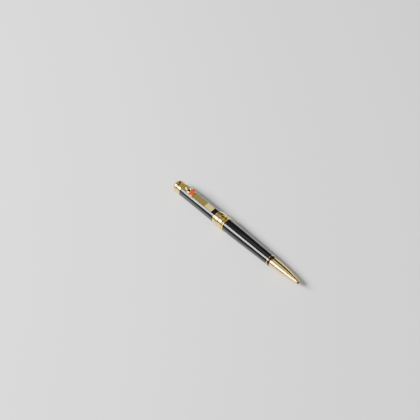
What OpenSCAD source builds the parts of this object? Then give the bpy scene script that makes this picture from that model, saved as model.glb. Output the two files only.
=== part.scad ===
// Twist-action metal pen with a spring clip and a long ink refill.
// The pen lies on its side: the writing end points along +X and the clip faces +Z.
// Every length runs from the finial's end; every height or radius is from the pen's own axis.

/* [Finial] */
// Length of the domed end cap
dome_l = 8.0; // [6:0.1:9]
// How far the finial stands proud of the barrel, on the radius
finial_step = 0.25; // [0.1:0.05:1]
// Radius of the dome's rounded end
dome_edge_r = 4.2; // [2:0.1:4.4]
// Length of the sunk stretch at the dome's base
dome_base_l = 3.2; // [1:0.1:3.5]
// Depth of the sunk stretch at the dome's base
dome_base_step = 0.6; // [0.2:0.05:0.7]
// Length of the plain ring under the dome
finial_ring_l = 1.9; // [1.5:0.1:5]
// Radius of the screw that holds the finial on
screw_r = 1.5; // [1:0.1:2]
// How deep the screw reaches into the dome
screw_grip_l = 4.0; // [3:0.1:5]

/* [Clip] */
// Width of the clip's strap
clip_w = 4.2; // [3:0.1:6]
// Thickness of the strap
clip_t = 0.8; // [0.5:0.05:1.2]
// Clear height between the strap and the barrel
clip_gap = 0.75; // [0.5:0.05:1.5]
// Length of the strap that runs level, from its bend to its sloped end
clip_level_l = 30.5; // [20:0.5:35]
// Length of the sloped end
clip_end_l = 7.5; // [4:0.5:10]
// Space left between the sloped end and the barrel
clip_foot_gap = 0.12; // [0.05:0.01:0.3]
// Outside radius of the bend at the clip's root
clip_bend_r = 1.2; // [1:0.1:2]
// Length of the opening behind the clip's leg
slot_open_l = 2.0; // [0.5:0.05:2.2]
// Radius of the round heel that the clip tilts on
heel_r = 0.6; // [0.4:0.05:0.8]

/* [Badge] */
// Radius of the round end of the badge
badge_r = 3.15; // [2.4:0.05:4]
// Distance of the badge's round end from the finial's end
badge_at = 20.9; // [18:0.1:30]
// Length of the badge's narrow tail, from the middle of its round end
badge_tail_l = 6.7; // [5:0.1:9]
// Width of the badge's tail
badge_tail_w = 3.9; // [2:0.1:4.2]
// Thickness of the badge's plate
badge_t = 0.5; // [0.3:0.05:1]
// Height of the enamel above the plate
enamel_h = 0.7; // [0.3:0.05:1]

/* [Barrels] */
// Diameter of the upper barrel
barrel_d = 10.3; // [8.5:0.1:14]
// Wall of the upper barrel
barrel_wall = 0.55; // [0.3:0.05:0.8]
// Length of the upper barrel
upper_barrel_l = 39.6; // [33:0.1:48]
// Length of the lower barrel
lower_barrel_l = 47.9; // [39:0.1:58]
// How far the lower barrel's widest part stands proud of the upper barrel, on the radius
grip_step = 0.1; // [0:0.05:1]
// Length of the lower barrel's cylindrical stretch
grip_l = 11.5; // [5:0.5:20]

/* [Centre band] */
// How far the band's rims stand proud of the upper barrel, on the radius
band_step = 0.8; // [0.5:0.05:2]
// Length of the small bead at the upper barrel's end
bead_l = 1.5; // [1:0.1:2.5]
// Length of the broad rim
broad_rim_l = 3.7; // [2:0.1:6]
// Length of the sunk stretch after the broad rim
waist_l = 2.45; // [1.5:0.05:4]
// Length of the narrow rim
narrow_rim_l = 1.5; // [1.2:0.1:3]
// Length of the flared end
flare_l = 1.85; // [1:0.05:3]
// Width of the grooves between the rims
groove_l = 0.5; // [0.3:0.05:1]
// Depth of the sunk stretch and the grooves under the rims
groove_depth = 0.75; // [0.3:0.05:0.8]

/* [Nose] */
// Length of the nose cone
cone_l = 26.9; // [22:0.1:34]
// Wall between the nose cone's widest part and the refill's bore
nose_wall = 0.7; // [0.5:0.05:1.5]
// Diameter of the nose cone's end
tip_d = 2.95; // [2.8:0.05:4]
// Length of the black collar behind the cone
collar_l = 2.1; // [1:0.1:5]
// Length of the thin ring behind the collar
front_ring_l = 0.6; // [0.4:0.1:2]
// How far the thin ring stands proud of the lower barrel, on the radius
front_ring_step = 0.25; // [0.1:0.05:0.6]
// How far the collar's front edge stands proud of the cone, on the radius
collar_step = 0.15; // [0.05:0.05:0.5]
// How far the lower barrel's front end stands proud of the cone, on the radius
front_step = 0.45; // [0.3:0.05:1]
// Length of the cone's spigot inside the barrel
spigot_l = 7.0; // [4:0.5:12]

/* [Refill] */
// Length of the refill
refill_l = 98.1; // [95:0.1:102]
// Diameter of the refill
refill_d = 5.9; // [5:0.05:7.2]
// Length of the refill's writing point
point_l = 11.0; // [8:0.1:13]
// Diameter of the writing point
point_d = 2.35; // [2:0.05:2.6]
// Length of the slim neck behind the point
neck_l = 10.5; // [8:0.1:13]
// Diameter of the slim neck
neck_d = 3.2; // [2.8:0.05:3.4]
// Diameter of the writing ball
ball_d = 0.8; // [0.5:0.1:1]
// Length of the plug in the refill's rear end
plug_l = 4.6; // [3:0.1:8]

/* [Mechanism] */
// Travel of the refill
travel = 4.5; // [3.5:0.1:5.5]
// Turn of the upper barrel that gives the whole travel, in degrees
twist = 180; // [120:5:200]
// Depth of the writing ball inside the nose when the refill is in
retract = 1.5; // [1:0.1:2]
// Radius of the follower pin
pin_r = 0.8; // [0.5:0.05:1]
// Length of the bushing at the upper barrel's top end
top_bushing_l = 4.6; // [3:0.1:8]
// Length of the cap on the mechanism's housing
cap_l = 2.4; // [1.5:0.1:4]
// Length of the housing's thread inside the lower barrel
housing_thread_l = 6.5; // [4:0.1:10]
// Radius of the return spring's wire
wire_r = 0.2; // [0.1:0.01:0.25]
// Number of the return spring's turns
spring_turns = 9; // [5:1:14]

/* [Clearances] */
// Room around the refill, on the radius
refill_play = 0.2; // [0.1:0.05:0.4]
// Running clearance between turning or sliding parts, on the radius
run_gap = 0.06; // [0.03:0.01:0.1]
// Clearance between pieces that are fixed to each other
fit_gap = 0.02; // [0:0.01:0.05]
// Gap where the two halves of the pen meet
part_gap = 0.1; // [0.05:0.01:0.2]
// Clearance at the ends of a piece's travel
end_gap = 0.5; // [0.3:0.1:1]

/* [Hidden] */
$fn = 96;

// Colours
gold = "#c9a24c";
pale_gold = "#d8bd6e";
lacquer = "#141418";
bare_brass = "#b08d4f";
steel = "#b9bcc0";
red_enamel = "#d8432a";
nylon = "#e8e6df";

// Stations along the pen
ring_at = dome_l;
upper_at = ring_at + finial_ring_l;
bead_at = upper_at + upper_barrel_l;
broad_rim_at = bead_at + bead_l + groove_l;
parting_at = broad_rim_at + broad_rim_l;
waist_at = parting_at + part_gap;
narrow_rim_at = waist_at + waist_l;
flare_at = narrow_rim_at + narrow_rim_l + groove_l;
lower_at = flare_at + flare_l;
grip_end = lower_at + grip_l;
front_ring_at = lower_at + lower_barrel_l;
collar_at = front_ring_at + front_ring_l;
cone_at = collar_at + collar_l;
pen_l = cone_at + cone_l;

// Outside radii
barrel_r = barrel_d / 2;
finial_r = barrel_r + finial_step;
band_r = barrel_r + band_step;
bead_r = barrel_r + band_step / 2;
waist_r = band_r - groove_depth;
grip_r = barrel_r + grip_step;
refill_r = refill_d / 2;
refill_bore_r = refill_r + refill_play;
cone_r = refill_bore_r + nose_wall;
tip_r = tip_d / 2;
collar_r = cone_r + collar_step;
front_r = cone_r + front_step;
front_ring_r = front_r + front_ring_step;
axis_h = band_r;

// Length of the friction washer's space at the twist joint, and the wall of the band round it
washer_l = 0.35;
band_wall = 0.5;

// Radii of the mechanism, shared out between the refill's bore and the upper barrel's bore
barrel_bore_r = barrel_r - barrel_wall;
housing_r = refill_bore_r + (barrel_bore_r - refill_bore_r) * 0.52;
cam_bore_r = housing_r + run_gap;
cam_r = barrel_bore_r - fit_gap;
cap_r = barrel_bore_r - 2 * run_gap;
flange_r = waist_r - band_wall;

// Stations of the mechanism
bushing_end = upper_at + top_bushing_l;
cap_at = bushing_end + end_gap;
housing_at = cap_at + cap_l;
pin_at = housing_at + 3 * pin_r + end_gap;
// Half the width of the cam's slot, and the turn between the holes that make it
cam_slot_r = pin_r + run_gap + 0.04;
cam_slot_step = 7.5;
flange_at = waist_at + washer_l;
flange_l = waist_l - washer_l - part_gap;
housing_end = lower_at + housing_thread_l;

// Stations of the refill, from its ball to its rear end
ball_at = pen_l - retract;
neck_at = ball_at - point_l;
shoulder_at = neck_at - neck_l;
tail_at = ball_at - refill_l;

// The refill's wall, and its plug's head and crossed slots
tube_wall = 0.35;
plug_head_l = plug_l * 0.4;
plug_slot_w = 1;
plug_slot_depth = 0.8;

// The nose's bores, each cleared for the refill's travel
body_bore_end = shoulder_at + travel + end_gap;
neck_bore_end = neck_at + travel + end_gap + wire_r;
neck_bore_r = neck_d / 2 + refill_play;
spring_r = neck_bore_r + wire_r;
spring_bore_r = spring_r + 2 * wire_r;
spring_seat = (body_bore_end + neck_bore_end) / 2;
point_bore_r = point_d / 2 + run_gap;
spigot_at = cone_at - spigot_l;
spigot_r = refill_bore_r + (front_r - refill_bore_r) * 0.35;
bushing_r = refill_bore_r + (front_r - refill_bore_r) * 0.7;
bushing_at = spigot_at - 3;
rear_bushing_r = bushing_r + (grip_r - bushing_r) * 0.3;

// The clip's heights above the axis and its stations
ring_relief = 0.25;
cup_floor = 0.3;
cup_wall = 0.2;
heel_h = finial_r - 2 * heel_r;
heel_at = ring_at - heel_r - fit_gap - run_gap;
leg_at = heel_at - clip_t / 2;
strap_h = max(barrel_r, finial_r - ring_relief) + clip_gap;
strap_top_h = strap_h + clip_t;
foot_h = barrel_r + clip_foot_gap;
slope_at = leg_at + clip_bend_r + clip_level_l;
clip_end = slope_at + clip_end_l;
slot_at = leg_at - slot_open_l;
heel_cup_h = heel_h - heel_r - cup_floor;
slot_w = clip_w + 2 * refill_play;
collar_disc_l = 0.9;
collar_disc_r = heel_cup_h;
cup_at = heel_at - heel_r - cup_wall;

// The badge's parts
badge_h = strap_top_h + badge_t;
enamel_r = badge_r - 0.15;
enamel_from = badge_at - 0.3 * badge_r;
eyelet_r = 1.45;
eyelet_overhang = 0.35;
eyelet_at = badge_at - badge_r + eyelet_r - eyelet_overhang;
eyelet_wire_r = 0.45;
badge_bead_r = 0.85;
badge_bead_margin = 0.35;
badge_bead_at = badge_at - badge_tail_l + badge_bead_r + badge_bead_margin;

// Radii that round the edges of rings and rims
rim_edge_r = 0.6;
small_edge_r = 0.35;
bead_edge_r = bead_l * 0.48;
front_ring_edge_r = front_ring_l * 0.4;
flare_edge = 0.2;

// The return spring's wire, drawn as a ring of points carried along a helix
spring_from = shoulder_at + wire_r + 2 * fit_gap;
spring_to = spring_seat - wire_r - fit_gap;
wire_sides = 8;
ring_count = spring_turns * 20;

// Puts the pen's axis along X, above the surface that the band rests on
module pen() { translate([-pen_l / 2, 0, axis_h]) children(); }

// Revolves an outline drawn with radius across and distance along the pen upwards
module turned() { rotate([0, 90, 0]) rotate_extrude() children(); }

// A round bar, or a tube when it has a bore
module bar(from, to, r, bore = 0) {
    translate([from, 0, 0]) rotate([0, 90, 0]) difference() {
        cylinder(h = to - from, r = r);
        if (bore > 0) translate([0, 0, -1]) cylinder(h = to - from + 2, r = bore);
    }
}

// Thickens a side view, drawn with distance along the pen and height, to a width across it
module across(w) { rotate([90, 0, 0]) linear_extrude(w, center = true) children(); }

// Outline of a rim with rounded edges, from its bore to its outside
module rim(from, to, bore, r, edge) {
    intersection() {
        translate([bore, from]) square([r - bore, to - from]);
        union() {
            translate([bore, from]) square([r - edge - bore, to - from]);
            translate([bore, from + edge]) square([r - bore, to - from - 2 * edge]);
            for (t = [from + edge, to - edge]) translate([r - edge, t]) circle(edge);
        }
    }
}

// Outline of the dome: a flat middle, a round shoulder and a sunk stretch at its base
module dome_outline() {
    intersection() {
        union() {
            square([finial_r - dome_base_step, dome_l]);
            square([finial_r, dome_l - dome_base_l]);
        }
        union() {
            square([finial_r - dome_edge_r, dome_l]);
            translate([0, dome_edge_r]) square([finial_r, dome_l - dome_edge_r]);
            translate([finial_r - dome_edge_r, dome_edge_r]) circle(dome_edge_r);
        }
    }
}

module finial_dome() {
    color(gold) pen() difference() {
        turned() dome_outline();
        // Blind hole for the screw
        bar(dome_l - screw_grip_l, dome_l + 1, screw_r + fit_gap);
        // Recess for the clip's collar, and a pocket for its cup
        bar(dome_l - collar_disc_l - fit_gap, dome_l + 1, collar_disc_r + fit_gap);
        translate([cup_at - fit_gap, -clip_w / 2 - fit_gap, 0])
            cube([dome_l + 1 - cup_at, clip_w + 2 * fit_gap, heel_cup_h]);
        // Opening that the clip comes out of
        translate([slot_at, -slot_w / 2, heel_cup_h - fit_gap])
            cube([dome_l + 1 - slot_at, slot_w, finial_r]);
    }
}

module finial_ring() {
    color(gold) pen() turned() difference() {
        rim(ring_at + fit_gap, upper_at, 0, finial_r, small_edge_r);
        translate([0, ring_at - 1]) square([screw_r + fit_gap, finial_ring_l + 2]);
    }
}

module finial_screw() {
    color(steel) pen() bar(dome_l - screw_grip_l + fit_gap, bushing_end - fit_gap, screw_r);
}

// Washer under the dome, with the cup that the clip's heel sits in
module clip_collar() {
    color(bare_brass) pen() difference() {
        union() {
            bar(dome_l - collar_disc_l, dome_l, collar_disc_r);
            translate([cup_at, -clip_w / 2, screw_r])
                cube([dome_l - cup_at, clip_w, heel_h - screw_r]);
        }
        bar(0, dome_l + 1, screw_r + fit_gap);
        translate([heel_at, 0, heel_h]) rotate([90, 0, 0])
            cylinder(h = clip_w + 2, r = heel_r + run_gap, center = true);
    }
}

// Side view of the clip: leg, bend, level strap and sloped end
module clip_outline() {
    bend = [leg_at + clip_bend_r, strap_top_h - clip_bend_r];
    translate([leg_at, heel_h]) square([clip_t, bend.y - heel_h]);
    intersection() {
        translate([leg_at, bend.y]) square(clip_bend_r);
        difference() {
            translate(bend) circle(clip_bend_r);
            translate(bend) circle(clip_bend_r - clip_t);
        }
    }
    polygon([[bend.x, strap_h], [slope_at, strap_h], [clip_end, foot_h], [clip_end, foot_h + clip_t],
             [slope_at, strap_top_h], [bend.x, strap_top_h]]);
}

module clip_strap() {
    color(gold) pen() union() {
        across(clip_w) clip_outline();
        translate([heel_at, 0, heel_h]) rotate([90, 0, 0])
            cylinder(h = clip_w, r = heel_r, center = true);
    }
}

// Outline of the badge seen from above: a round end with a narrower tail
module badge_outline(inset = 0) {
    translate([badge_at, 0]) circle(badge_r - inset);
    translate([badge_at - badge_tail_l + badge_tail_w / 2, -badge_tail_w / 2 + inset])
        square([badge_tail_l - badge_tail_w / 2, badge_tail_w - 2 * inset]);
    translate([badge_at - badge_tail_l + badge_tail_w / 2, 0]) circle(badge_tail_w / 2 - inset);
}

module badge_plate() {
    color(gold) pen() translate([0, 0, strap_top_h]) linear_extrude(badge_t) badge_outline();
}

// Enamel inlay on the front of the round end, hollowed where the eyelet stands
module badge_enamel() {
    color(red_enamel) pen() difference() {
        intersection() {
            translate([badge_at, 0, badge_h]) cylinder(h = enamel_h, r = enamel_r);
            translate([badge_at, 0, badge_h + enamel_h - 3 * badge_r]) sphere(3 * badge_r);
        }
        translate([eyelet_at, 0, badge_h - 1])
            cylinder(h = enamel_h + 2, r = eyelet_r + eyelet_wire_r + fit_gap);
        translate([enamel_from - 2 * badge_r, -badge_r, badge_h - 1])
            cube([2 * badge_r, 2 * badge_r, enamel_h + 2]);
    }
}

module badge_eyelet() {
    color(pale_gold) pen() translate([eyelet_at, 0, badge_h + eyelet_wire_r]) rotate_extrude() union() {
        translate([eyelet_r, 0]) circle(eyelet_wire_r);
        translate([eyelet_r - eyelet_wire_r, -eyelet_wire_r]) square([2 * eyelet_wire_r, eyelet_wire_r]);
    }
}

module badge_bead() {
    color(pale_gold) pen() intersection() {
        translate([badge_bead_at, 0, badge_h + badge_bead_r * 0.4]) sphere(badge_bead_r);
        translate([badge_bead_at, 0, badge_h]) cylinder(h = 2 * badge_bead_r, r = badge_bead_r);
    }
}

module upper_barrel() {
    color(lacquer) pen() bar(upper_at + fit_gap, bead_at - fit_gap, barrel_r, barrel_bore_r);
}

// Insert that closes the upper barrel and takes the finial's screw
module top_bushing() {
    color(bare_brass) pen() bar(upper_at + fit_gap, bushing_end, cam_r, screw_r + fit_gap);
}

// Angle and place of the follower pin in the cam's helical slot, at a share of the travel
module cam_slot_hole(share) {
    translate([pin_at + share * travel, 0, 0]) rotate([-share * twist, 0, 0])
        cylinder(h = 2 * cam_r, r = cam_slot_r);
}

module cam_sleeve() {
    steps = ceil(twist / cam_slot_step);
    color(bare_brass) pen() difference() {
        bar(housing_at + part_gap, parting_at - part_gap, cam_r, cam_bore_r);
        for (i = [0 : steps]) cam_slot_hole(i / steps);
    }
}

module upper_band() {
    color(gold) pen() turned() {
        rim(bead_at, bead_at + bead_l, barrel_bore_r, bead_r, bead_edge_r);
        translate([barrel_bore_r, bead_at + part_gap])
            square([barrel_r - barrel_bore_r, parting_at - bead_at - 2 * part_gap]);
        rim(broad_rim_at, parting_at, barrel_bore_r, band_r, rim_edge_r);
    }
}

module friction_washer() {
    color(nylon) pen()
        bar(parting_at + part_gap / 2, flange_at - fit_gap, flange_r - part_gap, cam_bore_r);
}

// Tube that the plunger slides in; its thread end screws into the lower barrel
module mechanism_housing() {
    slot_w = 2 * (pin_r + run_gap);
    color(bare_brass) pen() difference() {
        union() {
            bar(housing_at, housing_end, housing_r);
            bar(flange_at, flange_at + flange_l, flange_r);
        }
        bar(housing_at - 1, housing_end + 1, refill_bore_r);
        // Straight slot for the follower pin
        for (t = [pin_at, pin_at + travel])
            translate([t, 0, 0]) cylinder(h = 2 * housing_r, r = slot_w / 2);
        translate([pin_at, -slot_w / 2, 0]) cube([travel, slot_w, 2 * housing_r]);
    }
}

module mechanism_cap() {
    color(nylon) pen() union() {
        bar(cap_at, housing_at - fit_gap, cap_r);
        bar(cap_at, housing_at + pin_r, refill_bore_r - fit_gap);
    }
}

// Slides in the housing, led by the follower pin, and pushes the refill
module plunger() {
    color(nylon) pen() difference() {
        bar(pin_at - 2 * pin_r, tail_at - fit_gap, refill_bore_r - run_gap);
        translate([pin_at, 0, -refill_bore_r / 2]) cylinder(h = 2 * refill_bore_r, r = pin_r + fit_gap);
    }
}

module follower_pin() {
    color(steel) pen() translate([pin_at, 0, -refill_bore_r / 2 + fit_gap])
        cylinder(h = cam_r - 0.1 + refill_bore_r / 2 - fit_gap, r = pin_r);
}

module lower_band() {
    color(gold) pen() turned() difference() {
        union() {
            translate([housing_r, waist_at]) square([waist_r - housing_r, flare_at - waist_at + 0.1]);
            rim(narrow_rim_at, narrow_rim_at + narrow_rim_l, housing_r, band_r, rim_edge_r);
            polygon([[housing_r, flare_at], [waist_r + 0.1, flare_at], [band_r, lower_at - 2 * flare_edge],
                     [band_r, lower_at - flare_edge], [band_r - flare_edge, lower_at],
                     [housing_r, lower_at]]);
        }
        // Bore on the housing, opened out for the housing's flange
        translate([0, waist_at - 1]) square([housing_r + fit_gap, lower_at - waist_at + 2]);
        translate([0, waist_at - 1])
            square([flange_r + fit_gap, flange_at + flange_l + fit_gap - waist_at + 1]);
    }
}

// Threaded insert in the lower barrel's rear end
module rear_bushing() {
    color(bare_brass) pen()
        bar(lower_at + fit_gap, housing_end + end_gap, rear_bushing_r - fit_gap, housing_r + fit_gap);
}

module lower_barrel() {
    color(lacquer) pen() difference() {
        turned() polygon([[0, lower_at + fit_gap], [grip_r, lower_at + fit_gap], [grip_r, grip_end],
                          [front_r, front_ring_at], [0, front_ring_at]]);
        bar(lower_at - 1, front_ring_at + 1, bushing_r);
        bar(lower_at - 1, housing_end + 2 * end_gap, rear_bushing_r);
    }
}

module front_ring() {
    color(pale_gold) pen() turned()
        rim(front_ring_at + fit_gap, collar_at - fit_gap, bushing_r, front_ring_r, front_ring_edge_r);
}

module front_collar() {
    color(lacquer) pen() difference() {
        turned() polygon([[0, collar_at], [front_r, collar_at], [front_r, collar_at + 0.4 * collar_l],
                          [collar_r, cone_at - fit_gap], [0, cone_at - fit_gap]]);
        bar(collar_at - 1, cone_at + 1, bushing_r);
    }
}

// Threaded insert that holds the ring, the collar and the nose cone's spigot
module front_bushing() {
    color(bare_brass) pen() bar(bushing_at, cone_at - 2 * fit_gap, bushing_r - fit_gap, spigot_r + fit_gap);
}

module nose_cone() {
    // Radius of the arc that leaves the cone's base square and reaches its end
    rise = cone_r - tip_r;
    arc_r = (cone_l * cone_l + rise * rise) / (2 * rise);
    color(gold) pen() difference() {
        union() {
            turned() intersection() {
                translate([0, cone_at]) square([cone_r, cone_l]);
                translate([cone_r - arc_r, cone_at]) circle(arc_r, $fn = 1440);
            }
            bar(spigot_at, cone_at + 0.5, spigot_r);
        }
        bar(spigot_at - 1, body_bore_end, refill_bore_r);
        bar(spigot_at - 1, spring_seat, spring_bore_r);
        bar(spigot_at - 1, neck_bore_end, neck_bore_r);
        bar(spigot_at - 1, pen_l + 1, point_bore_r);
    }
}

// Points of a ring of the spring's wire, at a share of its length
function wire_ring(share) =
    let (turn = 360 * spring_turns * share, t = spring_from + (spring_to - spring_from) * share)
    [for (i = [0 : wire_sides - 1])
        let (a = 360 * i / wire_sides, r = spring_r + wire_r * cos(a))
        [t + wire_r * sin(a), r * cos(turn), r * sin(turn)]];

module return_spring() {
    points = [for (k = [0 : ring_count]) each wire_ring(k / ring_count)];
    sides = [for (k = [0 : ring_count - 1], i = [0 : wire_sides - 1])
        let (a = k * wire_sides + i, b = k * wire_sides + (i + 1) % wire_sides)
        each [[a, b, b + wire_sides], [a, b + wire_sides, a + wire_sides]]];
    ends = [[for (i = [wire_sides - 1 : -1 : 0]) i],
            [for (i = [0 : wire_sides - 1]) ring_count * wire_sides + i]];
    color(steel) pen() polyhedron(points, concat(sides, ends));
}

module refill_tube() {
    color(steel) pen() difference() {
        union() {
            bar(tail_at + plug_head_l, shoulder_at, refill_r);
            bar(shoulder_at - 1, neck_at, neck_d / 2);
        }
        // Ink space, with the seats of the plug and of the point
        bar(tail_at - 1, shoulder_at - 2, refill_r - tube_wall);
        bar(shoulder_at - 3, neck_at + 1, point_d / 2);
    }
}

module refill_point() {
    cone_point_l = 2.6;
    seat_l = 4;
    bore_r = 0.45;
    color(pale_gold) pen() difference() {
        turned() polygon([[0, neck_at - seat_l], [point_d / 2 - fit_gap, neck_at - seat_l],
                          [point_d / 2 - fit_gap, ball_at - cone_point_l],
                          [ball_d / 2 + 0.08, ball_at - ball_d / 2], [0, ball_at - ball_d / 2]]);
        bar(neck_at - seat_l - 1, ball_at - cone_point_l, bore_r);
        translate([ball_at - ball_d / 2, 0, 0]) sphere(ball_d / 2 + fit_gap);
    }
}

module refill_ball() {
    color(steel) pen() translate([ball_at - ball_d / 2, 0, 0]) sphere(ball_d / 2);
}

// Plastic plug with crossed ribs, pressed into the refill's rear end
module refill_plug() {
    color(nylon) pen() difference() {
        union() {
            bar(tail_at, tail_at + plug_head_l - fit_gap, refill_r - 0.15);
            bar(tail_at, tail_at + plug_l, refill_r - tube_wall - fit_gap);
        }
        for (a = [0, 90]) rotate([a, 0, 0])
            translate([tail_at - 1, -plug_slot_w / 2, -refill_d])
                cube([1 + plug_slot_depth, plug_slot_w, 2 * refill_d]);
    }
}

finial_dome();
finial_ring();
finial_screw();
clip_collar();
clip_strap();
badge_plate();
badge_enamel();
badge_eyelet();
badge_bead();
upper_barrel();
top_bushing();
cam_sleeve();
upper_band();
friction_washer();
mechanism_housing();
mechanism_cap();
plunger();
follower_pin();
lower_band();
rear_bushing();
lower_barrel();
front_ring();
front_collar();
front_bushing();
nose_cone();
return_spring();
refill_tube();
refill_point();
refill_ball();
refill_plug();
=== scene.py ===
"""Twist-action pen in gold plate and black lacquer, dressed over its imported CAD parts."""
import math

import bmesh
import bpy
from mathutils import Matrix, Vector


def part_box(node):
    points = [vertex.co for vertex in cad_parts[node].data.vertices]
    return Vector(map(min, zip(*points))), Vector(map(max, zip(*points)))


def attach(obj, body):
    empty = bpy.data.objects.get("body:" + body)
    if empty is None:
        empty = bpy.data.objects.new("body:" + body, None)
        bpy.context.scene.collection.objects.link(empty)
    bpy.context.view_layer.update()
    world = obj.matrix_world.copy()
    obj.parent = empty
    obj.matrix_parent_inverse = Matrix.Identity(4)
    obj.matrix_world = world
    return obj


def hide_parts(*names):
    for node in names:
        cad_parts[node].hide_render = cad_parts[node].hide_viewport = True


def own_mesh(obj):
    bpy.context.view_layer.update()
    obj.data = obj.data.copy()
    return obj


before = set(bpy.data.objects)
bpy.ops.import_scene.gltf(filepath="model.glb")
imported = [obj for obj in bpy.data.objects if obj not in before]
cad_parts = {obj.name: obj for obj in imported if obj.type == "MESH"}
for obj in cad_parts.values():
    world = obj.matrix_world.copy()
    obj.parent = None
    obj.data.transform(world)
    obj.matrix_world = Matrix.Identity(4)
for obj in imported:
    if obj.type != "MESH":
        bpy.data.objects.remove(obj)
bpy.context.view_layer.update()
bpy.ops.object.select_all(action="DESELECT")

# ---- Table, lights and camera ---------------------------------------------------------------
# A plain pale table top under two soft boxes, in a grey surround that is darker on the far side.
# The camera looks down on the pen from its writing end, so that the nose points down to the right.
band_lo, band_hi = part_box("upper_band")
axis_height = (band_lo.z + band_hi.z) / 2
pen_middle = Vector((0, 0, axis_height))
table_size = 4
table_cells = 8
table_grey = (0.83, 0.83, 0.84, 1)
table_roughness = 0.7
bpy.ops.mesh.primitive_grid_add(
    x_subdivisions=table_cells, y_subdivisions=table_cells, size=table_size)
table = bpy.context.object
table.name = "table_top"
table_paint = bpy.data.materials.new("table_paint")
table_paint.use_nodes = True
table_inputs = table_paint.node_tree.nodes["Principled BSDF"].inputs
table_inputs["Base Color"].default_value = table_grey
table_inputs["Roughness"].default_value = table_roughness
table.data.materials.append(table_paint)

camera_data = bpy.data.cameras.new("camera")
camera = bpy.data.objects.new("camera", camera_data)
bpy.context.collection.objects.link(camera)
bpy.context.scene.camera = camera
camera_data.sensor_width = 36
camera_data.lens = 103.4
camera_data.clip_start = 0.01
view_from = Vector((0.546, -0.287, 0.787)).normalized()
camera_distance = 0.9
roll_degrees = -18.3
aim_left = 0.0186
aim_up = 0.0156
camera_roll = Matrix.Rotation(math.radians(roll_degrees), 3, "Z")
facing = view_from.to_track_quat("Z", "Y").to_matrix() @ camera_roll
aim = pen_middle - aim_left * facing.col[0] + aim_up * facing.col[1]
camera.location = pen_middle + view_from * camera_distance
facing = (camera.location - aim).to_track_quat("Z", "Y").to_matrix() @ camera_roll
camera.rotation_euler = facing.to_euler()

near_grey = (0.34, 0.34, 0.35, 1)
far_grey = (0.07, 0.07, 0.075, 1)
near_until = 0.64
far_from = 0.86
world = bpy.data.worlds.new("surround")
bpy.context.scene.world = world
world.use_nodes = True
sky = world.node_tree
sky_where = sky.nodes.new("ShaderNodeTexCoord")
sky_axes = sky.nodes.new("ShaderNodeSeparateXYZ")
sky_share = sky.nodes.new("ShaderNodeMath")
sky_share.operation = "MULTIPLY_ADD"
sky_share.inputs[1].default_value = 0.5
sky_share.inputs[2].default_value = 0.5
sky_ramp = sky.nodes.new("ShaderNodeValToRGB")
near_stop, far_stop = sky_ramp.color_ramp.elements
near_stop.position = near_until
near_stop.color = near_grey
far_stop.position = far_from
far_stop.color = far_grey
sky.links.new(sky_where.outputs["Generated"], sky_axes.inputs[0])
sky.links.new(sky_axes.outputs["Y"], sky_share.inputs[0])
sky.links.new(sky_share.outputs[0], sky_ramp.inputs["Fac"])
sky.links.new(sky_ramp.outputs["Color"], sky.nodes["Background"].inputs["Color"])


def soft_box(name, place, width, length, radiance, tint):
    """Hangs a rectangular soft box at a place, facing the pen, with its length along the pen."""
    lamp = bpy.data.lights.new(name, "AREA")
    lamp.shape = "RECTANGLE"
    lamp.size = length
    lamp.size_y = width
    lamp.energy = radiance * math.pi * width * length
    lamp.color = tint
    box = bpy.data.objects.new(name, lamp)
    bpy.context.collection.objects.link(box)
    back = (Vector(place) - pen_middle).normalized()
    across = back.cross(Vector((1, 0, 0))).normalized()
    along = across.cross(back)
    box.matrix_world = Matrix((along, across, back)).transposed().to_4x4()
    box.location = place


soft_box("key_box", place=(-0.65, -0.68, 0.90), width=0.44, length=1.3, radiance=27,
         tint=(1, 0.99, 0.975))
soft_box("clip_box", place=(-0.30, 0.40, 1.20), width=0.4, length=0.76, radiance=0.9,
         tint=(1, 0.99, 0.97))


# ---- Ink refill -----------------------------------------------------------------------------
# A steel ink tube with a slim neck, a nickel silver point with its carbide ball, and a nylon
# plug pressed into the rear end. The whole refill lies loose in the pen and slides forwards.
MM = 0.001
same_place = 1e-6


class Signal:
    """A shader socket that takes part in sums: each operator adds its own Math node."""

    def __init__(self, tree, socket):
        self.tree = tree
        self.socket = socket

    def node(self, kind, settings=None, inputs=None, output=0):
        """Adds a node of a kind: its settings first, then the values or links of its inputs."""
        made = self.tree.nodes.new(kind)
        for name, value in (settings or {}).items():
            setattr(made, name, value)
        for name, value in (inputs or {}).items():
            self.feed(made.inputs[name], value)
        return Signal(self.tree, made.outputs[output])

    def feed(self, target, value):
        """Links a signal to a socket, or sets the socket's own value."""
        if isinstance(value, Signal):
            self.tree.links.new(value.socket, target)
        else:
            target.default_value = value

    def math(self, operation, *values):
        return self.node("ShaderNodeMath", {"operation": operation}, dict(enumerate(values)))

    def __add__(self, other):
        return self.math("ADD", self, other)

    __radd__ = __add__

    def __mul__(self, other):
        return self.math("MULTIPLY", self, other)

    __rmul__ = __mul__

    def noise(self, scale, detail=4, roughness=0.55):
        return self.node("ShaderNodeTexNoise", {"noise_dimensions": "3D"},
                         {"Vector": self, "Scale": scale, "Detail": detail, "Roughness": roughness})

    def stretched(self, along, around):
        """These coordinates scaled by one number along the pen and by another across it."""
        return self.node("ShaderNodeMapping", {},
                         {"Vector": self, "Location": (0, 0, -axis_height * around),
                          "Scale": (along, around, around)})

    def blend(self, low, high):
        """A colour between two, by this signal."""
        return self.node("ShaderNodeMix", {"data_type": "RGBA"},
                         {"Factor": self, "A": (*low, 1), "B": (*high, 1)}, output=2)

    def bump(self, distance, strength=1.0):
        """The normal that this height gives at a depth in metres."""
        return self.node("ShaderNodeBump", {},
                         {"Height": self, "Strength": strength, "Distance": distance})


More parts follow.
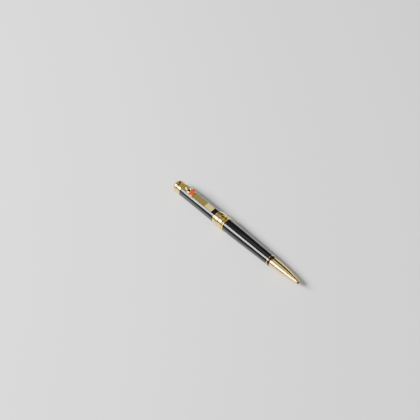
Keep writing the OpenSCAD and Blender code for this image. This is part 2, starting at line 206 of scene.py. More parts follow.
def finish_of(name, constants):
    """Makes a material. Gives back the material, its shader's inputs and its Object coordinates."""
    material = bpy.data.materials.new(name)
    material.use_nodes = True
    tree = material.node_tree
    inputs = tree.nodes["Principled BSDF"].inputs
    for socket, value in constants.items():
        inputs[socket].default_value = value
    where = Signal(tree, tree.nodes.new("ShaderNodeTexCoord").outputs["Object"])
    return material, inputs, where


def corner_cut(before, corner, after, rounding):
    """How far along each side of a corner an arc of that radius starts."""
    first = (Vector(before[:2]) - Vector(corner[:2])).normalized()
    second = (Vector(after[:2]) - Vector(corner[:2])).normalized()
    opening = math.acos(max(-1, min(1, first.dot(second))))
    return rounding / math.tan(opening / 2)


def draw_outline(points, steps):
    """Draws a closed wire in the pen's side view from (x, height above the axis, rounding)."""
    bpy.ops.object.select_all(action="DESELECT")
    bpy.ops.mesh.primitive_plane_add(size=MM)
    drawn = bpy.context.object
    bpy.ops.object.mode_set(mode="EDIT")
    bpy.ops.mesh.merge(type="CENTER")
    bpy.ops.transform.translate(value=(points[0][0], 0, axis_height + points[0][1]))
    for here, there in zip(points, points[1:]):
        step = (there[0] - here[0], 0, there[1] - here[1])
        bpy.ops.mesh.extrude_vertices_move(TRANSFORM_OT_translate={"value": step})
    wire = bmesh.from_edit_mesh(drawn.data)
    wire.verts.ensure_lookup_table()
    wire.verts[0].select_set(True)
    wire.verts[len(points) - 1].select_set(True)
    bmesh.update_edit_mesh(drawn.data)
    bpy.ops.mesh.edge_face_add()
    for i, corner in enumerate(points):
        if len(corner) > 2 and corner[2] > 0:
            before = points[i - 1]
            after = points[(i + 1) % len(points)]
            place = Vector((corner[0], 0, axis_height + corner[1]))
            select_verts(drawn, lambda v, place=place: (v.co - place).length < same_place)
            bpy.ops.mesh.bevel(offset=corner_cut(before, corner, after, corner[2]), segments=steps,
                               affect="VERTICES", profile=0.5)
    return drawn


def select_verts(piece, wanted):
    """In edit mode, selects just the vertices that a test picks."""
    bpy.ops.mesh.select_all(action="DESELECT")
    bpy.ops.mesh.select_mode(type="VERT")
    mesh = bmesh.from_edit_mesh(piece.data)
    for vertex in mesh.verts:
        vertex.select_set(wanted(vertex))
    mesh.select_flush_mode()
    bmesh.update_edit_mesh(piece.data)


def close_up(piece, name, crease=35):
    """Leaves edit mode with the doubles merged, the faces outwards and the shading smooth."""
    bpy.ops.mesh.select_all(action="SELECT")
    bpy.ops.mesh.remove_doubles(threshold=same_place)
    bpy.ops.mesh.normals_make_consistent(inside=False)
    bpy.ops.object.mode_set(mode="OBJECT")
    piece.name = name
    piece.data.name = name
    bpy.ops.object.shade_smooth_by_angle(angle=math.radians(crease))
    bpy.ops.object.modifier_add(type="WEIGHTED_NORMAL")
    piece.modifiers[-1].keep_sharp = True
    piece.modifiers[-1].weight = 100
    bpy.ops.object.modifier_apply(modifier=piece.modifiers[-1].name)
    return piece


def turn_outline(name, points, steps=5, sides=128, centre=pen_middle, axis=(1, 0, 0)):
    """Turns a piece from its closed outline, as on a lathe, on the pen's axis or another."""
    drawn = draw_outline(points, steps)
    bpy.ops.mesh.select_all(action="SELECT")
    bpy.ops.mesh.spin(steps=sides, angle=math.tau, center=centre, axis=axis, use_auto_merge=True)
    return close_up(drawn, name)


def fit_piece(piece, body, material, slot, *nodes):
    """Gives a piece its material and body, and hides the CAD nodes that it stands for. The slot is
    not used.
    """
    piece.data.materials.clear()
    piece.data.materials.append(material)
    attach(piece, body)
    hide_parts(*nodes)


def repaint(node, material):
    """Gives a CAD node a better material."""
    for material_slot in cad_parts[node].material_slots:
        material_slot.material = material


def turning_marks(where, inputs, low, high, depth):
    """Varies the polish in fine rings round the pen and raises faint marks, as buffing does."""
    rings = where.stretched(7000, 60).noise(1, 3)
    clouds = where.stretched(120, 260).noise(1, 3)
    where.feed(inputs["Roughness"], low + (high - low) * (0.35 * rings + 0.65 * clouds))
    where.feed(inputs["Normal"], rings.bump(depth, 0.6))


steel, steel_inputs, steel_where = finish_of("drawn_steel", {"Metallic": 1.0})
turning_marks(steel_where, steel_inputs, low=0.14, high=0.34, depth=0.6e-6)
steel_where.feed(steel_inputs["Base Color"], steel_where.stretched(90, 700).noise(1).blend(
    (0.47, 0.48, 0.50), (0.63, 0.64, 0.65)))

nickel, nickel_inputs, nickel_where = finish_of("nickel_silver", {"Metallic": 1.0})
turning_marks(nickel_where, nickel_inputs, low=0.16, high=0.30, depth=0.8e-6)
nickel_where.feed(nickel_inputs["Base Color"], nickel_where.stretched(400, 900).noise(1).blend(
    (0.66, 0.56, 0.36), (0.80, 0.70, 0.48)))

carbide, carbide_inputs, carbide_where = finish_of("carbide_ball", {"Metallic": 1.0})
carbide_where.feed(carbide_inputs["Base Color"], carbide_where.noise(9000).blend(
    (0.16, 0.16, 0.18), (0.34, 0.34, 0.37)))
carbide_where.feed(carbide_inputs["Roughness"], 0.12 + 0.2 * carbide_where.noise(14000))

nylon, nylon_inputs, nylon_where = finish_of(
    "moulded_nylon", {"IOR": 1.53, "Subsurface Weight": 0.15, "Subsurface Scale": 0.0006})
grain = nylon_where.noise(5200, 3)
nylon_where.feed(nylon_inputs["Base Color"], nylon_where.noise(350).blend(
    (0.62, 0.60, 0.54), (0.76, 0.75, 0.70)))
nylon_where.feed(nylon_inputs["Roughness"], 0.38 + 0.24 * grain)
nylon_where.feed(nylon_inputs["Normal"], grain.bump(4e-6))

point_lo, point_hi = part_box("refill_point")
point_r = point_hi.z - axis_height
tube_lo, tube_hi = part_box("refill_tube")
tube_r = tube_hi.z - axis_height
ball_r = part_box("refill_ball")[1].z - axis_height
neck_r = 1.6 * MM
neck_from = tube_hi.x - 10.5 * MM
nib_from = point_hi.x - 2.2 * MM
nib_r = 0.53 * MM
point_bore = 0.45 * MM
ink_bore = 0.2 * MM
groove_from = tube_hi.x + 0.5 * MM
groove_deep = 0.1 * MM
tube_wall = 0.35 * MM

writing_point = turn_outline("writing_point", [
    (point_lo.x, point_bore),
    (point_lo.x, point_r, 0.15 * MM),
    (groove_from, point_r, 0.08 * MM),
    (groove_from + 0.1 * MM, point_r - groove_deep, 0.05 * MM),
    (groove_from + 0.5 * MM, point_r - groove_deep, 0.05 * MM),
    (groove_from + 0.6 * MM, point_r, 0.08 * MM),
    (nib_from, point_r, 0.3 * MM),
    (point_hi.x - 0.45 * MM, nib_r + 0.03 * MM, 0.1 * MM),
    (point_hi.x - 0.15 * MM, nib_r, 0.1 * MM),
    (point_hi.x, ball_r + 0.04 * MM),
    (point_hi.x, ball_r + 0.01 * MM),
    (point_hi.x - ball_r, ink_bore),
    (nib_from - 1.5 * MM, ink_bore),
    (nib_from - 1.8 * MM, point_bore),
], sides=64)
fit_piece(writing_point, "refill", nickel, "pale_gold", "refill_point")

crimp_from = tube_lo.x + 2.6 * MM
crimp_l = 0.5 * MM
crimp_deep = 0.16 * MM
ink_tube = turn_outline("ink_tube", [
    (tube_lo.x, tube_r - tube_wall),
    (tube_lo.x, tube_r, 0.12 * MM),
    (crimp_from, tube_r, 0.2 * MM),
    (crimp_from + crimp_l / 2, tube_r - crimp_deep, 0.15 * MM),
    (crimp_from + crimp_l, tube_r, 0.2 * MM),
    (neck_from, tube_r, 0.5 * MM),
    (neck_from, neck_r + 0.1 * MM, 0.2 * MM),
    (neck_from + 1.2 * MM, neck_r, 0.4 * MM),
    (tube_hi.x, neck_r, 0.2 * MM),
    (tube_hi.x, point_r),
    (neck_from - 1.6 * MM, point_r, 0.2 * MM),
    (neck_from - 2.0 * MM, tube_r - tube_wall, 0.3 * MM),
], sides=96)
fit_piece(ink_tube, "refill", steel, "steel", "refill_tube")
repaint("refill_ball", carbide)
repaint("refill_plug", nylon)


# ---- Return spring --------------------------------------------------------------------------
# A coil of hard-drawn steel wire round the refill's neck, with one dead turn closed up at each
# end. It sits on a step inside the nose, and the refill's shoulder presses it shorter.
spring_lo, spring_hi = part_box("return_spring")
wire_r = 0.2 * MM
coil_r = spring_hi.z - axis_height - wire_r
coil_from = spring_lo.x + wire_r
coil_length = spring_hi.x - spring_lo.x - 2 * wire_r
coil_turns = 9
wire_sides = 12
turn_steps = 40
dead_turns = 1
bpy.ops.object.select_all(action="DESELECT")
bpy.ops.mesh.primitive_circle_add(vertices=wire_sides, radius=wire_r)
spring = bpy.context.object
bpy.ops.object.mode_set(mode="EDIT")
bpy.ops.transform.rotate(value=math.pi / 2, orient_axis="X", center_override=(0, 0, 0))
bpy.ops.transform.translate(value=(coil_from, 0, coil_r))
bpy.ops.object.mode_set(mode="OBJECT")
spring.location.z = axis_height
bpy.ops.object.modifier_add(type="SCREW")
winding = spring.modifiers[-1]
winding.axis = "X"
winding.iterations = coil_turns
winding.screw_offset = coil_length / coil_turns
winding.steps = turn_steps
winding.render_steps = turn_steps
bpy.ops.object.modifier_apply(modifier=winding.name)
bpy.ops.object.transform_apply(location=True)
bpy.ops.object.mode_set(mode="EDIT")
wire = bmesh.from_edit_mesh(spring.data)
wire.verts.ensure_lookup_table()
rings = len(wire.verts) // wire_sides
dead_pitch = 2.1 * wire_r
live_turns = coil_turns - 2 * dead_turns
live_pitch = (coil_length - 2 * dead_turns * dead_pitch) / live_turns
for vertex in wire.verts:
    turn = (vertex.index // wire_sides) / (rings - 1) * coil_turns
    live = min(max(turn - dead_turns, 0), live_turns)
    wanted = (turn - live) * dead_pitch + live * live_pitch
    vertex.co.x += wanted - turn * coil_length / coil_turns
bmesh.update_edit_mesh(spring.data)
bpy.ops.mesh.select_all(action="SELECT")
bpy.ops.mesh.region_to_loop()
bpy.ops.mesh.edge_face_add()
close_up(spring, "return_coil", 50)
fit_piece(spring, "lower_barrel", steel, "steel", "return_spring")
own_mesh(spring)


# ---- Nose cone ------------------------------------------------------------------------------
# A brass cone turned in one piece with its spigot, bored through for the refill and its spring,
# polished and gold plated. The spigot screws into the barrel, and the mouth is lightly rounded.
gold, gold_inputs, gold_where = finish_of("gold_plate", {"Metallic": 1.0})
turning_marks(gold_where, gold_inputs, low=0.05, high=0.12, depth=0.12e-6)
gold_where.feed(gold_inputs["Base Color"], gold_where.stretched(160, 300).noise(1).blend(
    (0.91, 0.66, 0.19), (0.96, 0.73, 0.26)))

# Rough unpolished brass for hollows. Its very dark base colour is painted shade for the faces
# inside the nose's mouth and the dome's opening.
unpolished_painted_shade, unpolished_painted_shade_inputs, unpolished_painted_shade_where = finish_of("unpolished_brass_painted_shade", {"Metallic": 1.0})
unpolished_painted_shade_where.feed(unpolished_painted_shade_inputs["Base Color"], unpolished_painted_shade_where.noise(2000, 3).blend(
    (0.10, 0.06, 0.025), (0.20, 0.13, 0.06)))
unpolished_painted_shade_where.feed(unpolished_painted_shade_inputs["Roughness"], 0.40 + 0.25 * unpolished_painted_shade_where.noise(5000, 3))
skin = 0.02 * MM
seat_gap = 0.02 * MM


def paint_faces(piece, material, wanted):
    """Gives a second material to the faces whose middle passes a test."""
    piece.data.materials.append(material)
    for face in piece.data.polygons:
        if wanted(face.center):
            face.material_index = 1


collar_lo, collar_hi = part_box("front_collar")
cone_lo, cone_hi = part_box("nose_cone")
cone_from = collar_hi.x + seat_gap
cone_r = cone_hi.z - axis_height
mouth_r = 1.475 * MM
mouth_bore = 1.235 * MM
spigot_r = 3.55 * MM
body_bore = 3.15 * MM
neck_bore = 1.8 * MM
spring_bore = 2.4 * MM
body_bore_to = neck_from + 5.0 * MM
neck_bore_to = tube_hi.x + 5.2 * MM
rise = cone_r - mouth_r
cone_l = cone_hi.x - cone_from
sweep_r = (cone_l ** 2 + rise ** 2) / (2 * rise)
sweep_points = 18
sweep = []
for i in range(1, sweep_points):
    along = cone_l * i / sweep_points
    sweep.append((cone_from + along, cone_r - sweep_r + math.sqrt(sweep_r ** 2 - along ** 2)))
nose = turn_outline("nose_cone_shell", [
    (cone_lo.x, body_bore),
    (cone_lo.x, spigot_r, 0.2 * MM),
    (cone_from, spigot_r),
    (cone_from, cone_r, 0.12 * MM),
    *sweep,
    (cone_hi.x, mouth_r, 0.16 * MM),
    (cone_hi.x, mouth_bore, 0.06 * MM),
    (neck_bore_to, mouth_bore),
    (neck_bore_to, neck_bore),
    (spring_hi.x, neck_bore),
    (spring_hi.x, spring_bore),
    (body_bore_to, spring_bore),
    (body_bore_to, body_bore),
])
fit_piece(nose, "lower_barrel", gold, "gold_plate", "nose_cone")
# Painted shade: the faces inside the mouth bore get the dark brass.
paint_faces(nose, unpolished_painted_shade, lambda centre: (
    centre.x > neck_bore_to - skin
    and math.hypot(centre.y, centre.z - axis_height) < mouth_bore + skin))


# ---- Collar, thin ring and front bushing ----------------------------------------------------
# A short lacquered collar and a thin half-round ring are held between the barrel and the nose
# cone. The brass bushing is pressed into the barrel and takes the cone's spigot.
lacquer, lacquer_inputs, lacquer_where = finish_of(
    "black_lacquer",
    {"IOR": 1.5, "Specular IOR Level": 0.3, "Coat Weight": 0.4, "Coat Roughness": 0.03})
orange_peel = lacquer_where.noise(900, 2)
lacquer_where.feed(lacquer_inputs["Base Color"], lacquer_where.noise(2600, 3).blend(
    (0.0025, 0.0025, 0.0035), (0.006, 0.006, 0.0075)))
lacquer_where.feed(lacquer_inputs["Roughness"], 0.10 + 0.10 * lacquer_where.noise(220, 3))
lacquer_where.feed(lacquer_inputs["Normal"], orange_peel.bump(0.4e-6, 0.5))

brass, brass_inputs, brass_where = finish_of("bare_brass", {"Metallic": 1.0})
turning_marks(brass_where, brass_inputs, low=0.24, high=0.46, depth=1.5e-6)
brass_where.feed(brass_inputs["Base Color"], brass_where.stretched(240, 500).noise(1).blend(
    (0.52, 0.36, 0.14), (0.70, 0.52, 0.24)))

insert_bore = 3.955 * MM
collar_r = collar_hi.z - axis_height
collar = turn_outline("front_collar_shell", [
    (collar_lo.x + seat_gap, insert_bore),
    (collar_lo.x + seat_gap, collar_r, 0.12 * MM),
    (collar_lo.x + 0.84 * MM, collar_r, 1.5 * MM),
    (collar_hi.x, cone_r + 0.15 * MM, 0.02 * MM),
    (collar_hi.x, insert_bore),
])
fit_piece(collar, "lower_barrel", lacquer, "black_lacquer", "front_collar")

ring_lo, ring_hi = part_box("front_ring")
ring_r = ring_hi.z - axis_height
ring_edge = 0.24 * MM
thin_ring = turn_outline("front_ring_shell", [
    (ring_lo.x, insert_bore),
    (ring_lo.x, ring_r, ring_edge),
    (ring_hi.x, ring_r, ring_edge),
    (ring_hi.x, insert_bore),
], steps=6)
fit_piece(thin_ring, "lower_barrel", gold, "pale_gold", "front_ring")
repaint("front_bushing", brass)


# ---- Lower barrel ---------------------------------------------------------------------------
# A brass tube sprayed with many coats of black lacquer and buffed. It runs straight behind the
# band and then tapers to the thin ring. A threaded brass bushing closes each end.
barrel_lo, barrel_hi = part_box("lower_barrel")
grip_r = barrel_hi.z - axis_height
grip_l = 11.5 * MM
taper_sweep = 400 * MM
barrel_edge = 0.15 * MM
rear_bore = 4.34 * MM
rear_bore_l = 7.5 * MM
lower_shell = turn_outline("lower_barrel_shell", [
    (barrel_lo.x, rear_bore),
    (barrel_lo.x, grip_r, barrel_edge),
    (barrel_lo.x + grip_l, grip_r, taper_sweep),
    (barrel_hi.x, collar_r, 0.12 * MM),
    (barrel_hi.x, insert_bore),
    (barrel_lo.x + rear_bore_l, insert_bore),
    (barrel_lo.x + rear_bore_l, rear_bore),
], steps=7, sides=160)
fit_piece(lower_shell, "lower_barrel", lacquer, "black_lacquer", "lower_barrel")
repaint("rear_bushing", brass)


# ---- Twist mechanism ------------------------------------------------------------------------
# A slotted brass housing is screwed into the lower barrel, and a brass cam sleeve with a helical
# slot turns round it. A steel pin follows both slots and carries the nylon plunger and refill.
for mechanism_node, mechanism_finish in (("mechanism_housing", brass), ("cam_sleeve", brass),
                                         ("top_bushing", brass), ("mechanism_cap", nylon),
                                         ("plunger", nylon), ("friction_washer", nylon),
                                         ("follower_pin", steel)):
    repaint(mechanism_node, mechanism_finish)


# ---- Centre band ----------------------------------------------------------------------------
# Two turned and gold-plated brass rings that meet at the twist joint. The upper one has a small
# bead and a broad rim, and the lower one a sunk waist, a narrow rim and a flared end.
band_r = band_hi.z - axis_height
band_bore = 4.6 * MM
bead_l = 1.5 * MM
groove_l = 0.5 * MM
groove_r = 5.15 * MM
bead_r = 5.55 * MM
rim_from = band_lo.x + bead_l + groove_l
rim_middle = (rim_from + band_hi.x) / 2
rim_drop = 0.05 * MM
rim_edge = 0.6 * MM
bead_edge = 0.7 * MM
groove_corner = 0.12 * MM
upper_band = turn_outline("upper_band_ring", [
    (band_lo.x, band_bore),
    (band_lo.x, bead_r, bead_edge),
    (band_lo.x + bead_l, bead_r, bead_edge),
    (band_lo.x + bead_l, groove_r, groove_corner),
    (rim_from, groove_r, groove_corner),
    (rim_from, band_r - rim_drop, rim_edge),
    (rim_middle, band_r, 20 * MM),
    (band_hi.x, band_r - rim_drop, rim_edge),
    (band_hi.x, band_bore),
], steps=7, sides=160)
fit_piece(upper_band, "upper_barrel", gold, "gold_plate", "upper_band")

waist_lo, waist_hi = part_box("lower_band")
waist_deep = 0.75 * MM
waist_r = band_r - waist_deep
waist_corner = 0.15 * MM
narrow_from = waist_lo.x + 2.45 * MM
narrow_to = narrow_from + 1.5 * MM
flare_from = narrow_to + 0.5 * MM
housing_r = 3.92 * MM
flange_r = 4.72 * MM
flange_to = waist_lo.x + 2.37 * MM
lower_band = turn_outline("lower_band_ring", [
    (waist_lo.x, flange_r),
    (waist_lo.x, waist_r, 0.1 * MM),
    (narrow_from, waist_r, waist_corner),
    (narrow_from, band_r, rim_edge),
    (narrow_to, band_r, rim_edge),
    (narrow_to, waist_r, waist_corner),
    (flare_from, waist_r, 1.2 * MM),
    (waist_hi.x - 0.35 * MM, band_r, 0.3 * MM),
    (waist_hi.x, band_r - rim_drop, 0.2 * MM),
    (waist_hi.x, housing_r),
    (flange_to, housing_r),
    (flange_to, flange_r),
], steps=7, sides=160)
fit_piece(lower_band, "lower_barrel", gold, "gold_plate", "lower_band")


# ---- Upper barrel ---------------------------------------------------------------------------
# A straight brass tube in the same black lacquer. It is pressed on the cam sleeve and turns with
# it, and the brass bushing in its top end takes the finial's screw.
tube_from, tube_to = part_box("upper_barrel")
upper_r = tube_to.z - axis_height
upper_shell = turn_outline("upper_barrel_shell", [
    (tube_from.x, band_bore),
    (tube_from.x, upper_r, barrel_edge),
    (tube_to.x, upper_r, barrel_edge),
    (tube_to.x, band_bore),
], steps=5, sides=160)
fit_piece(upper_shell, "upper_barrel", lacquer, "black_lacquer", "upper_barrel")


# ---- Finial ---------------------------------------------------------------------------------
# A gold-plated ring and a domed cap with an opening that the clip comes out of. A steel screw
# holds both on the barrel, and a brass washer under the dome carries the clip's round heel.


def upright_bar(centre_x, radius, foot, top, sides=96):
    """A plain upright cylinder between two heights above the pen's axis."""
    bpy.ops.object.select_all(action="DESELECT")
    bpy.ops.mesh.primitive_cylinder_add(vertices=sides, radius=radius, depth=top - foot)
    bar = bpy.context.object
    bpy.ops.object.mode_set(mode="EDIT")
    bpy.ops.transform.translate(value=(centre_x, 0, axis_height + (foot + top) / 2))
    bpy.ops.object.mode_set(mode="OBJECT")
    return bar


def upright_block(low_x, high_x, width, foot, top):
    """A plain block between two stations, centred across the pen."""
    bpy.ops.object.select_all(action="DESELECT")
    bpy.ops.mesh.primitive_cube_add(size=1)
    block = bpy.context.object
    bpy.ops.object.mode_set(mode="EDIT")
    bpy.ops.transform.resize(value=(high_x - low_x, width, top - foot))
    bpy.ops.transform.translate(value=((low_x + high_x) / 2, 0, axis_height + (foot + top) / 2))
    bpy.ops.object.mode_set(mode="OBJECT")
    return block


def carve(piece, tool, operation="DIFFERENCE"):
    """Cuts a piece with a tool, or joins the tool to it, and throws the tool away."""
    bpy.ops.object.select_all(action="DESELECT")
    bpy.context.view_layer.objects.active = piece
    piece.select_set(True)
    bpy.ops.object.modifier_add(type="BOOLEAN")
    piece.modifiers[-1].object = tool
    piece.modifiers[-1].operation = operation
    piece.modifiers[-1].solver = "EXACT"
    bpy.ops.object.modifier_apply(modifier=piece.modifiers[-1].name)
    bpy.data.objects.remove(tool)


def soften(piece, name, width):
    """Rounds a carved piece's edges, then closes it up."""
    bpy.ops.object.modifier_add(type="BEVEL")
    piece.modifiers[-1].width = width
    piece.modifiers[-1].segments = 3
    piece.modifiers[-1].angle_limit = math.radians(50)
    bpy.ops.object.modifier_apply(modifier=piece.modifiers[-1].name)
    bpy.ops.object.mode_set(mode="EDIT")
    return close_up(piece, name)


repaint("finial_screw", steel)
repaint("clip_collar", brass)
plain_lo, plain_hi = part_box("finial_ring")
plain_r = plain_hi.z - axis_height
plain_edge = 0.35 * MM
screw_bore = 1.52 * MM
finial_ring = turn_outline("finial_ring_shell", [
    (plain_lo.x, screw_bore),
    (plain_lo.x, plain_r, plain_edge),
    ((plain_lo.x + plain_hi.x) / 2, plain_r),
    (plain_hi.x, plain_r, plain_edge),
    (plain_hi.x, screw_bore),
], steps=6, sides=160)
fit_piece(finial_ring, "upper_barrel", gold, "gold_plate", "finial_ring")

dome_lo, dome_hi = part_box("finial_dome")
dome_edge = 4.2 * MM
dome_base_l = 3.2 * MM
dome_base_r = plain_r - 0.6 * MM
slot_from = dome_lo.x + 4.92 * MM
slot_w = 4.6 * MM
slot_floor = 3.28 * MM
slot_over = 8 * MM
slot_corner = 0.6 * MM
washer_seat_r = 3.32 * MM
washer_seat_from = dome_hi.x - 0.92 * MM
screw_end = dome_hi.x - 4.0 * MM
dome = turn_outline("finial_dome_shell", [
    (dome_lo.x, 0),
    (dome_lo.x, plain_r, dome_edge),
    (dome_hi.x - dome_base_l, plain_r, 0.3 * MM),
    (dome_hi.x - dome_base_l, dome_base_r, 0.12 * MM),
    (dome_hi.x, dome_base_r, 0.05 * MM),
    (dome_hi.x, washer_seat_r),
    (washer_seat_from, washer_seat_r),
    (washer_seat_from, screw_bore),
    (screw_end, screw_bore),
    (screw_end, 0),
], steps=20, sides=160)
slot_cutter = upright_block(slot_from, slot_from + slot_over, slot_w,
                            slot_floor, slot_floor + slot_over)
bpy.ops.object.mode_set(mode="EDIT")
bpy.ops.mesh.select_all(action="DESELECT")
cutter_mesh = bmesh.from_edit_mesh(slot_cutter.data)
for edge in cutter_mesh.edges:
    first, second = (v.co for v in edge.verts)
    edge.select_set(max(first.x, second.x) < slot_from + MM and abs(first.z - second.z) > MM)
bmesh.update_edit_mesh(slot_cutter.data)
bpy.ops.mesh.bevel(offset=slot_corner, segments=6)
bpy.ops.object.mode_set(mode="OBJECT")
carve(dome, slot_cutter)
soften(dome, "finial_dome_shell", 0.1 * MM)
fit_piece(dome, "upper_barrel", gold, "gold_plate", "finial_dome")
# Painted shade: the faces inside the opening behind the clip get the dark brass.
paint_faces(dome, unpolished_painted_shade, lambda centre: (
    centre.x > slot_from - skin and abs(centre.y) < slot_w / 2 + skin
    and centre.z > axis_height + slot_floor - skin
    and math.hypot(centre.y, centre.z - axis_height) < dome_base_r - skin))


# ---- Clip -----------------------------------------------------------------------------------
# A sprung brass strap, blanked, bent at its root and at its sloped end, then gold plated. Its
# round heel sits in the cup of the washer under the dome, and the strap stands off the barrel.
clip_gold, clip_inputs, clip_where = finish_of("clip_gold", {"Metallic": 1.0})
brushed = clip_where.node("ShaderNodeMapping", {}, {"Vector": clip_where, "Scale": (70, 6500, 500)})
brushing = brushed.noise(1, 3)
polish = clip_where.noise(260, 3)
clip_where.feed(clip_inputs["Base Color"], clip_where.noise(300, 3).blend(
    (0.88, 0.67, 0.17), (0.94, 0.74, 0.23)))
clip_where.feed(clip_inputs["Roughness"], 0.07 + 0.09 * (0.4 * brushing + 0.6 * polish))
clip_where.feed(clip_inputs["Normal"], brushing.bump(0.15e-6, 0.6))

strap_lo, strap_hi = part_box("clip_strap")
strap_w = strap_hi.y - strap_lo.y
strap_t = 0.8 * MM
strap_top = strap_hi.z - axis_height
strap_under = strap_top - strap_t
heel_r = 0.6 * MM
heel_round = 0.59 * MM
heel_h = 4.2 * MM
heel_shoulder = heel_h + heel_r - 0.1 * MM
leg_foot = heel_h + heel_r + 0.1 * MM
foot_edge = 0.3 * MM
slope_bend = 6 * MM
strap_edge = 0.16 * MM
leg_from = strap_lo.x + 0.2 * MM
leg_to = leg_from + strap_t
slope_from = strap_hi.x - 7.5 * MM
foot_under = 5.27 * MM
strap = draw_outline([
    (strap_lo.x, heel_h - heel_r, heel_round),
    (strap_lo.x, heel_shoulder, 0.3 * MM),
    (leg_from, leg_foot, 0.2 * MM),
    (leg_from, strap_top, 1.2 * MM),
    (slope_from, strap_top, slope_bend),
    (strap_hi.x, foot_under + strap_t, foot_edge),
    (strap_hi.x, foot_under, foot_edge),
    (slope_from, strap_under, slope_bend),
    (leg_to, strap_under, 0.4 * MM),
    (leg_to, leg_foot, 0.2 * MM),
    (strap_lo.x + 2 * heel_r, heel_shoulder, 0.3 * MM),
    (strap_lo.x + 2 * heel_r, heel_h - heel_r, heel_round),
], steps=8)
bpy.ops.mesh.select_all(action="SELECT")
bpy.ops.mesh.edge_face_add()
bpy.ops.transform.translate(value=(0, -strap_w / 2, 0))
bpy.ops.mesh.extrude_region_move(TRANSFORM_OT_translate={"value": (0, strap_w, 0)})
bpy.ops.mesh.select_all(action="DESELECT")
strap_mesh = bmesh.from_edit_mesh(strap.data)
for edge in strap_mesh.edges:
    first, second = (v.co for v in edge.verts)
    edge.select_set(abs(first.y - second.y) < same_place)
bmesh.update_edit_mesh(strap.data)
bpy.ops.mesh.bevel(offset=strap_edge, segments=4)
close_up(strap, "clip_strap_blade", 40)
fit_piece(strap, "clip", clip_gold, "gold_plate", "clip_strap")


# ---- Badge ----------------------------------------------------------------------------------
# A small gold plate on the strap, with a round end and a narrower tail. A raised rim holds the
# red-orange enamel on the round end; an eyelet and a bead stand behind it, and a black disc in the
# eyelet's hole is painted shade.
enamel, enamel_inputs, enamel_where = finish_of(
    "red_enamel",
    {"IOR": 1.5, "Specular IOR Level": 0.2, "Coat Weight": 0.2, "Coat Roughness": 0.04})
enamel_where.feed(enamel_inputs["Base Color"], enamel_where.noise(1500, 4).blend(
    (0.48, 0.012, 0.001), (0.66, 0.036, 0.002)))
enamel_where.feed(enamel_inputs["Roughness"], 0.07 + 0.09 * enamel_where.noise(2400, 2))

plate_lo, plate_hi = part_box("badge_plate")
plate_foot = plate_lo.z - axis_height
plate_top = plate_hi.z - axis_height
badge_r = (plate_hi.y - plate_lo.y) / 2
badge_at = plate_hi.x - badge_r
tail_r = 1.95 * MM
tail_at = plate_lo.x + tail_r
rim_wall = 0.32 * MM
rim_h = 0.42 * MM
sunk = 0.1 * MM
enamel_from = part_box("badge_enamel")[0].x
plate = upright_bar(badge_at, badge_r, plate_foot, plate_top)
carve(plate, upright_bar(tail_at, tail_r, plate_foot, plate_top, 64), "UNION")
carve(plate, upright_block(tail_at, badge_at, 2 * tail_r, plate_foot, plate_top), "UNION")
rim = upright_bar(badge_at, badge_r - 0.02 * MM, plate_foot + sunk, plate_top + rim_h)
carve(rim, upright_bar(badge_at, badge_r - rim_wall, plate_top - sunk, plate_top + MM))
carve(rim, upright_block(badge_at - 2 * badge_r, enamel_from - rim_wall, 3 * badge_r,
                         plate_foot, plate_top + MM))
carve(plate, rim, "UNION")
soften(plate, "badge_plate_rimmed", 0.07 * MM)
fit_piece(plate, "clip", clip_gold, "gold_plate", "badge_plate")

eyelet_lo, eyelet_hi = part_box("badge_eyelet")
eyelet_at = (eyelet_lo.x + eyelet_hi.x) / 2
eyelet_out = (eyelet_hi.x - eyelet_lo.x) / 2
eyelet_wire = 0.45 * MM
eyelet_round = 0.44 * MM
eyelet_in = eyelet_at + eyelet_out - 2 * eyelet_wire
eyelet_top = plate_top + 2 * eyelet_wire
upright = {"axis": (0, 0, 1), "centre": (eyelet_at, 0, 0)}
eyelet = turn_outline("badge_eyelet_ring", [
    (eyelet_in, plate_top),
    (eyelet_in, eyelet_top, eyelet_round),
    (eyelet_at + eyelet_out, eyelet_top, eyelet_round),
    (eyelet_at + eyelet_out, plate_top),
], steps=8, sides=72, **upright)
fit_piece(eyelet, "clip", clip_gold, "pale_gold", "badge_eyelet")
fill_gap = 0.01 * MM
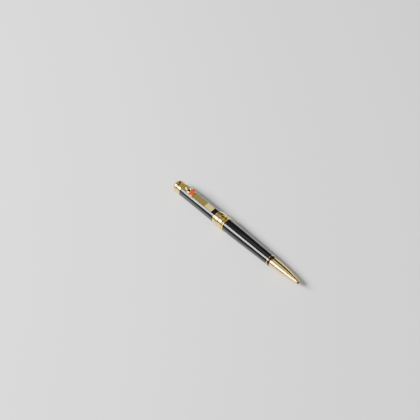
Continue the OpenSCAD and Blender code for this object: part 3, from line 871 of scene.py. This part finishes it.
# Painted shade: a black disc in the eyelet's hole stands in for the shade inside it.
hole_shade_h = 0.4 * MM
hole_shade_disc = turn_outline("badge_eye_painted_shade", [
    (eyelet_at, plate_top),
    (eyelet_in - fill_gap, plate_top),
    (eyelet_in - fill_gap, plate_top + hole_shade_h - 0.1 * MM, 0.1 * MM),
    (eyelet_at, plate_top + hole_shade_h),
], steps=5, sides=72, **upright)
fit_piece(hole_shade_disc, "clip", lacquer, "black_lacquer")

inlay_top = plate_top + 0.58 * MM
inlay_r = badge_r - rim_wall - fill_gap
inlay = turn_outline("badge_enamel_inlay", [
    (badge_at, plate_top),
    (badge_at + inlay_r, plate_top),
    (badge_at + inlay_r, plate_top + rim_h, 0.12 * MM),
    (badge_at + 0.5 * badge_r, inlay_top, 3 * MM),
    (badge_at, inlay_top + 0.04 * MM),
], steps=6, sides=96, axis=(0, 0, 1), centre=(badge_at, 0, 0))
carve(inlay, upright_bar(eyelet_at, eyelet_out + 0.02 * MM, plate_foot, plate_top + MM))
carve(inlay, upright_block(badge_at - 2 * badge_r, enamel_from, 3 * badge_r,
                           plate_foot, plate_top + MM))
soften(inlay, "badge_enamel_inlay", 0.06 * MM)
fit_piece(inlay, "clip", enamel, "red_enamel", "badge_enamel")

bead_lo, bead_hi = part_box("badge_bead")
bead_at = (bead_lo.x + bead_hi.x) / 2
bead_out = (bead_hi.x - bead_lo.x) / 2
bead_top = bead_hi.z - axis_height
badge_bead = turn_outline("badge_bead_on_foot", [
    (bead_at, plate_top),
    (bead_at + bead_out, plate_top),
    (bead_at + bead_out, plate_top + 0.2 * MM, 0.1 * MM),
    (bead_at + bead_out - 0.12 * MM, plate_top + 0.25 * MM, 0.05 * MM),
    (bead_at + bead_out - 0.02 * MM, plate_top + 0.5 * MM, 0.3 * MM),
    (bead_at + bead_out - 0.1 * MM, bead_top, 0.6 * MM),
    (bead_at, bead_top),
], steps=8, sides=48, axis=(0, 0, 1), centre=(bead_at, 0, 0))
fit_piece(badge_bead, "clip", clip_gold, "pale_gold", "badge_bead")
